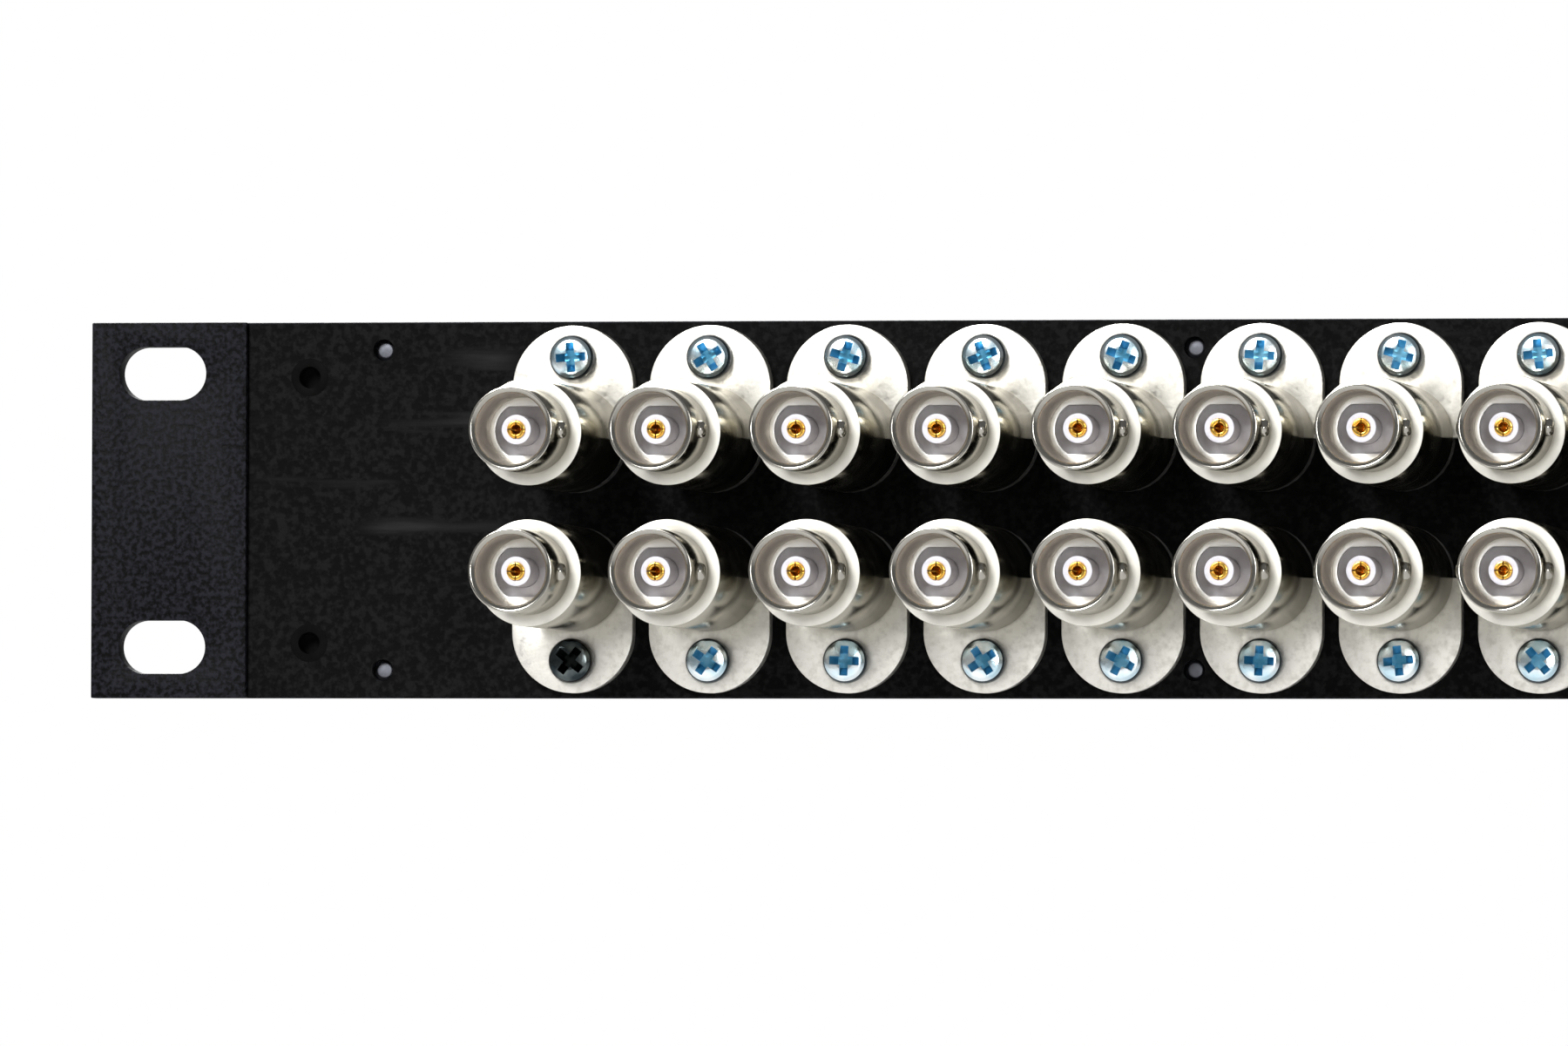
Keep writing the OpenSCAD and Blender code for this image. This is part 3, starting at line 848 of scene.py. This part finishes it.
def outer_contact():
    part = bmesh.new()
    loop(part, seat_r, (0, ring_y[0], 0))
    for v in loop(part, aperture_r, (0, ring_y[0], 0)):
        v.co.z = max(-aperture_half, min(aperture_half, v.co.z))
    fill(part)
    thicken(part, part.faces[:], ring_y[1] - ring_y[0])
    bmesh.ops.recalc_face_normals(part, faces=part.faces[:])
    eased(part, square_edges(part), 0.06 * mm)
    return part


def bead():
    return turned(tube_outline(sleeve_r, seat_r, bead_y), ease=0.1 * mm)


def sleeve():
    return satin_ends(turned(tube_outline(pin_r, sleeve_r, sleeve_y), ease=0.12 * mm, steps=40))


def saw_cuts(length, tip, wide, reach):
    """Two thin blades crossed on the axis, for splitting a contact's tip."""
    part = bmesh.new()
    for angle in (0, math.pi / 2):
        place = Matrix.Translation((0, tip, 0)) @ Matrix.Rotation(angle, 4, "Y")
        size = Matrix.Diagonal((reach * 2, length * 2, wide, 1))
        bmesh.ops.create_cube(part, size=1, matrix=place @ size)
    return part


def rear_contact():
    floor_y = bead_y[1]
    throat = 0.75 * pin_hole
    outline = [
        (0, pin_y[0]), (pin_r, pin_y[0]), (pin_r, pin_y[1]), (pin_hole, pin_y[1]),
        (throat, pin_y[1] - pin_hole * 0.5), (throat, floor_y), (0, floor_y),
    ]
    tip = turned(outline, ease=0.08 * mm, steps=32)
    return carved(tip, saw_cuts(pin_cut_length, pin_y[1], pin_cut_wide, reach=1.5 * mm))


show_rows("outer_contacts", outer_contact, "bright_contact", bright_plate)
# The bead's grey and the sleeve's darker sides are painted shade.
show_rows("support_beads", bead, "grey_insulator", shaded_bead)
show_rows("contact_sleeves", sleeve, "white_insulator", shaded_sleeve_side, white_sleeve)
show_rows("rear_contacts", rear_contact, "gold", gold)

# %% [markdown]
# ## Inside the front socket
#
# A patch cord's plug goes into the barrel's front. A slotted bronze spring grips its body, a white
# disc carries the centre contact, and four gold fingers take its pin.

# %% Front contacts, insulators, springs and bushes
disc_y = depths("front_insulators")
disc_r = radius_of("front_insulators")
finger_y = depths("front_contacts")
finger_r = radius_of("front_contacts")
spring_y = depths("ground_springs")
spring_r = radius_of("ground_springs")
bush_y = depths("panel_bushes")
bush_r = radius_of("panel_bushes")
bush_hole = bush_r - 0.3 * mm
finger_hole = 0.9 * mm
finger_length = 6 * mm
spring_wall = 0.3 * mm
saw_wide = 0.4 * mm


def front_insulator():
    return turned(tube_outline(finger_r, disc_r, disc_y), ease=0.15 * mm)


def front_contact():
    floor_y = finger_y[0] + finger_length
    outline = [
        (finger_hole, finger_y[0]), (finger_r, finger_y[0]), (finger_r, finger_y[1]), (0, finger_y[1]),
        (0, floor_y), (finger_hole, floor_y),
    ]
    fingers = turned(outline, ease=0.12 * mm, steps=40)
    return carved(fingers, saw_cuts(finger_length * 0.9, finger_y[0], saw_wide, reach=3 * mm))


def ground_spring():
    wall = tube_outline(spring_r - spring_wall, spring_r, spring_y)
    blades = bmesh.new()
    size = Matrix.Diagonal((20 * mm, (spring_y[1] - spring_y[0]) * 1.5, saw_wide, 1))
    for angle in (0, math.pi / 3, 2 * math.pi / 3):
        place = Matrix.Translation((0, spring_y[0], 0)) @ Matrix.Rotation(angle, 4, "Y")
        bmesh.ops.create_cube(blades, size=1, matrix=place @ size)
    return carved(turned(wall, ease=0.08 * mm, steps=60), blades)


def panel_bush():
    outline = [
        (neck_r, bush_y[0]), (bush_r, bush_y[0]), (bush_r, panel_low.y),
        (bush_hole, panel_low.y), (bush_hole, bush_y[1]), (neck_r, bush_y[1]),
    ]
    return turned(outline, ease=0.1 * mm, steps=60)


show_rows("front_insulators", front_insulator, "white_insulator", white_sleeve)
show_rows("front_contacts", front_contact, "gold", gold)
show_rows("ground_springs", ground_spring, "spring_bronze", spring_bronze)
show_rows("panel_bushes", panel_bush, "black_nylon", plastic)

# %% [markdown]
# ## Panel and board
#
# The panel is one plate with a shallow pocket behind, between the ears. It is filled and thickened
# as a flat part, cut along the pocket's two ends, and the ears alone are thickened again. The thin
# black board lies in the pocket and shares the panel's holes.

# %% Cut the panel and the board
slots = mounts["rack_slots"]["dims"]
slot_r = slots["hole_r_mm"] * mm
slot_half = slots["slot_length_mm"] * mm / 2 - slot_r
board_gap = 0.1 * mm
pocket_x = board_high.x + board_gap
screw_hole = radius_of("screw_bushes")
rivet_low, rivet_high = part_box("label_holder_rivets")
rivet_head_r = 1.8 * mm
rivet_r = 1.25 * mm
rivet_z = rivet_high.z - rivet_head_r
rivet_end_x = rivet_high.x - rivet_head_r
rivet_inner_x = 7 * pitch
rivet_x = [-rivet_end_x, -rivet_inner_x, 0, rivet_inner_x, rivet_end_x]
inserts = mounts["cable_bar_inserts_right"]
insert_head_r = 3.0 * mm
insert_r = 2.2 * mm
insert_thread = inserts["dims"]["hole_r_mm"] * mm
insert_x = inserts["pos_m"][0]
insert_z = inserts["dims"]["spacing_y_mm"] * mm / 2
rivet_spots = [(x, side * rivet_z) for side in (1, -1) for x in rivet_x]
insert_spots = [(x, z) for x in (-insert_x, insert_x) for z in (-insert_z, insert_z)]


def field_holes(part, depth):
    for row, side in (("top", 1), ("bottom", -1)):
        for axis in axes[row]:
            loop(part, bush_hole, (axis.x, depth, axis.z), segments=32)
            loop(part, screw_hole, (axis.x, depth, axis.z + side * screw_offset), segments=16)
    for x, z in rivet_spots:
        loop(part, rivet_r, (x, depth, z), segments=32)
    for x, z in insert_spots:
        loop(part, insert_r, (x, depth, z), segments=32)


def panel():
    part = bmesh.new()
    rectangle(part, panel_low, panel_high, panel_low.y)
    field_holes(part, panel_low.y)
    slot_x = slots["spacing_x_mm"] * mm / 2
    slot_z = slots["spacing_y_mm"] * mm / 2
    for x in (-slot_x, slot_x):
        for z in (-slot_z, slot_z):
            loop(part, slot_r, (x, panel_low.y, z), (slot_half, 0), segments=48)
    fill(part)
    for x in (-pocket_x, pocket_x):
        bmesh.ops.bisect_plane(part, geom=part.verts[:] + part.edges[:] + part.faces[:],
                               plane_co=(x, 0, 0), plane_no=(1, 0, 0))
    top = thicken(part, part.faces[:], board_low.y - panel_low.y)
    ears = [f for f in top if abs(f.calc_center_median().x) > pocket_x]
    thicken(part, ears, panel_high.y - board_low.y)
    bmesh.ops.recalc_face_normals(part, faces=part.faces[:])

    def on_ear_or_edge(e):
        return all(abs(v.co.x) > pocket_x - weld or abs(v.co.z) > panel_high.z - weld for v in e.verts)

    eased(part, square_edges(part, on_ear_or_edge), 0.14 * mm)
    return part


def board():
    part = bmesh.new()
    rectangle(part, board_low, board_high, board_low.y)
    field_holes(part, board_low.y)
    fill(part)
    thicken(part, part.faces[:], board_high.y - board_low.y)
    bmesh.ops.recalc_face_normals(part, faces=part.faces[:])
    return part


plate = show("panel_plate", panel(), [coat], stands_for=["front_panel"],
             sharp=30)
sheet = show("board_sheet", board(), [board_skin], stands_for=["insulating_board"],
             sharp=30)
print("panel:", len(plate.data.polygons), "faces, board:", len(sheet.data.polygons), "faces")

# %% [markdown]
# ## Rivets and inserts
#
# Rivets hold the label holders from the front, and only their sunken tails show behind. The blind
# inserts take screws for a cable bar, so each shows as a dark threaded hole with a thin rim.

# %% Rivets and blind inserts
rivet_y = (rivet_low.y, rivet_high.y)
rivet_head = 0.5 * mm
rivet_set = 0.02 * mm
tail_chamfer = 0.5 * mm
insert_low, insert_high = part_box("cable_bar_inserts")
insert_floor = 0.3 * mm
grooves = 5
groove_depth = 0.18 * mm


def rivet():
    under, head = rivet_y[0] - rivet_set, rivet_y[0] + rivet_head
    outline = [
        (0, under), (rivet_head_r, under), (rivet_head_r, head), (rivet_r, head),
        (rivet_r, rivet_y[1] - tail_chamfer), (rivet_r * 0.68, rivet_y[1]), (0, rivet_y[1]),
    ]
    return turned(outline, ease=0.1 * mm, steps=32)


def insert():
    head = panel_low.y
    floor_y = insert_low.y + insert_floor
    turn = (insert_high.y - floor_y) / grooves
    outline = [
        (0, insert_low.y), (insert_head_r, insert_low.y), (insert_head_r, head), (insert_r, head),
        (insert_r, insert_high.y), (insert_thread, insert_high.y),
    ]
    for step in range(grooves):
        y = insert_high.y - step * turn
        outline.append((insert_thread + groove_depth, y - turn * 0.45))
        outline.append((insert_thread, y - turn * 0.9))
    outline.append((0, floor_y))
    return turned(outline, ease=0.03 * mm, steps=32)


places = [Matrix.Translation((x, 0, z)) for x, z in rivet_spots]
show("rivets_fine", repeated(rivet(), places), [aluminium],
     stands_for=["label_holder_rivets"])
places = [Matrix.Translation((x, 0, z)) for x, z in insert_spots]
show("inserts_fine", repeated(insert(), places), [black_oxide],
     stands_for=["cable_bar_inserts"])
print("rivets:", len(rivet_spots), "inserts:", len(insert_spots))

# %% [markdown]
# ## Label strips
#
# On the front, a channel above and below the jacks holds a card behind a clear cover. The card and
# the cover slide out sideways, so they ride on their own body. The card carries a plain number over
# each jack, with a thin line between neighbours.

# %% Holders, cards, numbers and covers
lip_depth = 0.5 * mm
lip_reach = 0.5 * mm
rail = 0.8 * mm
digit_high = 3.6 * mm
line_wide = 0.15 * mm
line_share = 0.8
print_lift = 0.01 * mm


def holder(row):
    low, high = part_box(f"{row}_label_holder")
    back = high.y - rail
    lip = low.y + lip_depth
    roof, ground = high.z - rail, low.z + rail
    section = [
        (high.y, low.z), (high.y, high.z), (low.y, high.z), (low.y, roof - lip_reach),
        (lip, roof - lip_reach), (lip, roof), (back, roof), (back, ground), (lip, ground),
        (lip, ground + lip_reach), (low.y, ground + lip_reach), (low.y, low.z),
    ]
    part = bmesh.new()
    face = part.faces.new([part.verts.new((low.x, y, z)) for y, z in section])
    made = bmesh.ops.extrude_face_region(part, geom=[face])["geom"]
    bmesh.ops.translate(part, verts=[g for g in made if isinstance(g, bmesh.types.BMVert)],
                        vec=(high.x - low.x, 0, 0))
    middle = Vector((low.x + rail / 2, (low.y + back) / 2, (low.z + high.z) / 2))
    size = (rail, back - low.y, high.z - low.z - 2 * rail, 1)
    bmesh.ops.create_cube(part, size=1, matrix=Matrix.Translation(middle) @ Matrix.Diagonal(size))
    bmesh.ops.recalc_face_normals(part, faces=part.faces[:])
    eased(part, square_edges(part), 0.1 * mm)
    return part


def slab(node, ease):
    low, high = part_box(node)
    part = bmesh.new()
    place = Matrix.Translation((low + high) / 2) @ Matrix.Diagonal((*(high - low), 1))
    bmesh.ops.create_cube(part, size=1, matrix=place)
    eased(part, part.edges[:], ease)
    return part


def printed(row):
    """Numbers and dividing lines, a hair in front of the card."""
    low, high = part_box(f"{row}_label_card")
    print_y = low.y - print_lift
    middle = (low.z + high.z) / 2
    line = Matrix.Diagonal((line_wide, (high.z - low.z) * line_share, 1, 1))
    part = bmesh.new()
    for number, axis in enumerate(axes[row], 1):
        text = bpy.data.curves.new("number", "FONT")
        text.body = str(number)
        text.size = digit_high
        text.align_x = "CENTER"
        text.align_y = "CENTER"
        text.resolution_u = 3
        item = bpy.data.objects.new("number", text)
        mesh = bpy.data.meshes.new_from_object(item)
        mesh.transform(Matrix.Translation((axis.x, print_y, middle)) @ upright)
        part.from_mesh(mesh)
        bpy.data.objects.remove(item)
        bpy.data.meshes.remove(mesh)
        bpy.data.curves.remove(text)
    for step in range(jacks_in_row + 1):
        x = axes[row][0].x + (step - 0.5) * pitch
        place = Matrix.Translation((x, print_y, middle)) @ upright @ line
        bmesh.ops.create_grid(part, x_segments=1, y_segments=1, size=0.5, matrix=place)
    return part


for row in rows:
    strip = f"{row}_label_strip"
    show(f"{row}_holder_channel", holder(row), [plastic],
         stands_for=[f"{row}_label_holder"])
    show(f"{row}_card_slip", slab(f"{row}_label_card", 0.04 * mm), [card], strip,
         [f"{row}_label_card"])
    show(f"{row}_printing", printed(row), [ink], strip)
    show(f"{row}_cover_strip", slab(f"{row}_label_cover", 0.12 * mm), [clear], strip,
         [f"{row}_label_cover"])
    print(strip, "made")

# %% [markdown]
# ## Parts that stay as they came
#
# The centre conductors and the screw bushes are plain round parts deep inside, so the CAD meshes
# are good enough. They only get a finish.

# %% Finish the CAD parts
kept = {"centre_conductors": gold, "screw_bushes": nylon}
for kind, finish in kept.items():
    for row in rows:
        mesh = frame["nodes"][f"{row}_{kind}"].data
        for place in range(len(mesh.materials)):
            mesh.materials[place] = finish
print("finished", 2 * len(kept), "CAD nodes")
